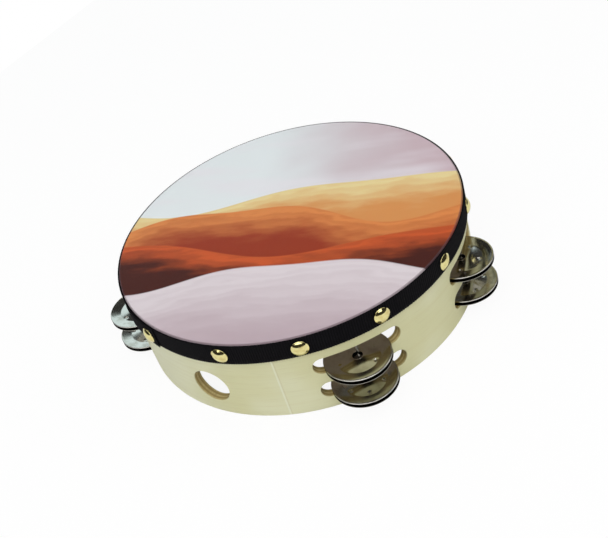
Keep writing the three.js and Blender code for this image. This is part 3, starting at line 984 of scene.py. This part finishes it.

# %% [markdown]
# The jingles make the sound, and they are the hardest pieces to get right. Each is a disc of
# thin plated metal, spun over a former, which leaves rings of fine tool marks. The faces
# inside a pair and the sheared edge are painted dark by a value per point, as painted shade,
# so that the gap between two rims stays dark.

# %% Jingle metal
bright, dark = paint(207, 205, 197), paint(150, 142, 126)
nickel, tree, shader, worn = polished_metal("jingle_nickel", bright, dark, 0.11, 0.1, 120.0)
from_centre = length_of(tree, add(tree, "ShaderNodeUVMap", uv_map="layout").outputs[0])
rings = math_node(tree, "MULTIPLY", from_centre, 2600.0)
tool_marks = noise(tree, add(tree, "ShaderNodeCombineXYZ", {"X": rings}).outputs[0], 1.0, 3.0)
# Painted shade: the faces inside a pair and the sheared edge are darkened.
pair_shade = math_node(tree, "MULTIPLY", point_value(tree, "pair_shade"), 0.92)
plate = blend(tree, pair_shade, worn["Colour"], paint(52, 44, 34))
feed(tree, shader, {"Base Color": plate})
relief = math_node(tree, "MULTIPLY_ADD", worn["Height"], 0.3, tool_marks)
fine_relief(tree, shader, relief, 0.1, 0.03)
print("jingle metal nodes:", len(tree.nodes))

# %% [markdown]
# A jingle has a gently domed middle with a hole, a groove round it, and a flange that flares
# to the rim. The height of the sheet is a function of radius and angle: two cones joined by
# a soft groove, and a bell for each of five dimples. The disc is 0.25 mm under its solid's
# radius, because that solid is a shape of 22 sides, and a full circle round its corners
# would stand out past its flats.

# %% Jingle shape
DISC_RADIUS, DISC_HOLE, SHEET, DISC_HEIGHT = 22.75, 3.4, 0.6, 1.85
GROOVE, GROOVE_SOFTNESS, DOME_SLOPE, FLARE_SLOPE = 15.0, 0.5, 0.95 / 11.6, 1.25 / 8
DIMPLE_CIRCLE, DIMPLE_RADIUS, DIMPLE_DEPTH = 13.0, 1.8, 0.5
HOLE_EASE, RIM_ROLL, ROLL_SINK, SHEAR_DROP, SHEAR_IN = 0.12, 0.38, 0.1, 0.08, 0.15
DISC_STEPS = 180
DISC_RINGS = np.concatenate([
    [DISC_HOLE, DISC_HOLE + HOLE_EASE], np.linspace(4.2, 10.6, 8), np.linspace(10.9, 16.3, 19),
    np.linspace(17, DISC_RADIUS - 1.16 * RIM_ROLL, 6),
])


def sheet_height(radius, angle, dimples):
    """Height of the disc's upper face over its groove. With x counted out from the groove,
    the root of x squared plus w squared is a rounded V, and a share of x tips its two sides
    to the slopes of the dome and the flare. The dimples are taken off it."""
    x = radius - GROOVE
    rounded_v = np.hypot(x, GROOVE_SOFTNESS) - GROOVE_SOFTNESS
    height = SHEET + (FLARE_SLOPE - DOME_SLOPE) / 2 * x
    height = height + (FLARE_SLOPE + DOME_SLOPE) / 2 * rounded_v
    turn = np.radians(dimples)[:, None, None]
    off_x = radius * np.cos(angle) - DIMPLE_CIRCLE * np.cos(turn)
    off_y = radius * np.sin(angle) - DIMPLE_CIRCLE * np.sin(turn)
    return height - (DIMPLE_DEPTH * eased(1 - np.hypot(off_x, off_y) / DIMPLE_RADIUS)).sum(0)


def make_jingle(name, centre, foot, facing_up, dimples):
    """A closed sheet: the under face from the hole out, the rolled rim, and the upper face
    back. The lower disc of a pair is the same sheet turned over."""
    angle = np.arange(DISC_STEPS) * TURN / DISC_STEPS
    radius, a = np.meshgrid(DISC_RINGS, angle, indexing="ij")
    upper = np.stack([radius, sheet_height(radius, a, dimples)], -1)
    upper[0, :, 1] -= HOLE_EASE
    under = upper - [0, SHEET]
    under[0, :, 1] += 2 * HOLE_EASE
    roll_centre = (DISC_RADIUS - RIM_ROLL, DISC_HEIGHT - ROLL_SINK - RIM_ROLL)
    roll = arc(roll_centre, RIM_ROLL, 92, 10, 7)
    sheared = DISC_HEIGHT - SHEET - SHEAR_DROP
    edge = [[DISC_RADIUS, sheared], [DISC_RADIUS - SHEAR_IN, sheared - SHEAR_DROP]]
    rim = np.repeat(np.concatenate([roll, edge])[:, None], DISC_STEPS, 1)
    reach, height = np.moveaxis(np.concatenate([under, rim[::-1], upper[::-1]]), -1, 0)
    height = height if facing_up else DISC_HEIGHT - height
    local = np.stack([reach * np.cos(angle), reach * np.sin(angle), height], -1)
    faces = grid_faces(len(reach), DISC_STEPS, True, True)
    faces = faces if facing_up else faces[:, ::-1]
    piece = make_piece(name, local + [*centre, foot], [faces], nickel, sharp=70)
    lay_out(piece, local[..., :2] * mm)
    # The under face and the sheared edge take the painted shade.
    shaded_faces = np.arange(len(reach)) < len(under) + len(edge)
    mark_points(piece, "pair_shade", np.repeat(shaded_faces, DISC_STEPS))
    return piece


# %% [markdown]
# The dimples are struck by hand, so their places differ from disc to disc, and those of the
# discs in view are the photograph's. Two discs lie groove to groove, their rims apart, with
# the dimples of one between those of the other, because two dimples face to face would hold
# the pair open. All the pairs hang over to one side of their pins, as the hoop was held.

# %% Jingles
LEAN, LEAN_AZIMUTH = 2.1, math.radians(-74)
DIMPLES_BETWEEN = {"top": 0, "bottom": 30}
chance = np.random.default_rng(12)
dimples = chance.uniform(0, 72, (6, 2, 1)) + np.arange(0, 360, 72) + chance.normal(0, 4, (6, 2, 5))
dimples[0] = [[12, 84, 160, -109, -50], [-1, 60, 118, 180, -124]]
dimples[1] = [[-34, 38, 110, 182, -106], [9, 79, 150, -138, -66]]
for i, station in enumerate(STATIONS):
    a = math.radians(station)
    centre = [
        PIN_CIRCLE * math.cos(a) + LEAN * math.cos(LEAN_AZIMUTH),
        PIN_CIRCLE * math.sin(a) + LEAN * math.sin(LEAN_AZIMUTH),
    ]
    for k, row in enumerate(ROWS):
        for side, between_them in DIMPLES_BETWEEN.items():
            place_name = f"{i + 1}_{row}_{side}"
            node = "jingle_" + place_name
            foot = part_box(node)[0].z / mm
            struck = dimples[i, k] + between_them
            disc = make_jingle("disc_" + place_name, centre, foot, side == "top", struck)
            dress(disc, node, "nickel", node)
print("jingle points each:", len(disc.data.vertices))

# %% [markdown]
# Last, the box of the dressed part is printed beside the box of the solids, both in
# millimetres.

# %% Size
shown_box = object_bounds()
for name, box in (("solids", solid_box), ("shown", shown_box)):
    print(name, [[round(c / mm, 2) for c in corner] for corner in box])
